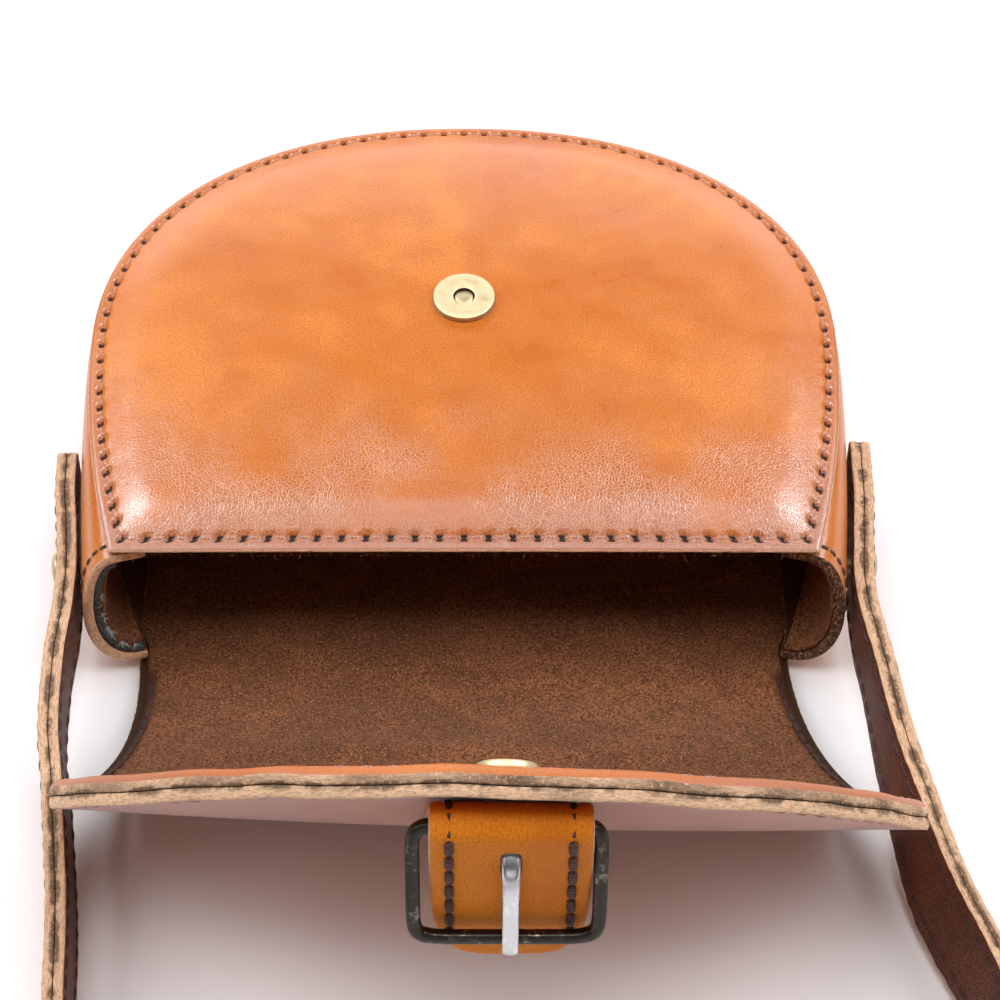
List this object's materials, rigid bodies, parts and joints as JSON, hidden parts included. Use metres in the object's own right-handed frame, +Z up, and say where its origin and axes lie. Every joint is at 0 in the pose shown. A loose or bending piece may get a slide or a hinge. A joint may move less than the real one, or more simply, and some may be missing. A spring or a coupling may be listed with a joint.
{
  "type": "shoulder bag",
  "caption": "Saddle-shaped leather shoulder bag lying on its back with its flap open, suede inside, a magnetic snap, a buckle tab on the flap and a riveted strap.",
  "frame": {"origin": "On the flat outer face of the back panel, under the middle of the bag's body, where it rests on a table", "axes": "+Z up out of the table, through the body to the front panel; +Y towards the rounded bottom, so the mouth, the flap and the strap's loop lie towards -Y; +X to the right for someone looking into the mouth"},
  "size_m": [0.2661, 0.5074, 0.1168],
  "materials": {
    "tan_leather": "smooth glazed vegetable-tanned leather with fine creases",
    "dark_leather": "dark red-brown dyed leather with tan cut edges",
    "brown_suede": "short brown suede nap",
    "grey_board": "matt dark grey fibre stiffener",
    "pale_brass": "pale brushed brass",
    "antique_metal": "dark antique plating worn at the edges",
    "bright_steel": "bright plated steel"
  },
  "bodies": {
    "root": {"front_panel": "tan_leather", "gusset": "tan_leather", "gusset_stiffener": "grey_board", "gusset_lining": "brown_suede", "back_flap": "tan_leather", "back_lining": "brown_suede", "flap_facing": "tan_leather", "snap_socket": "pale_brass", "snap_stud": "pale_brass", "buckle_tab": "tan_leather", "buckle_frame": "antique_metal", "buckle_prong": "bright_steel", "strap_inner": "dark_leather", "strap_outer": "tan_leather", "rivet_left": "pale_brass", "rivet_right": "pale_brass"}
  },
  "joints": []
}
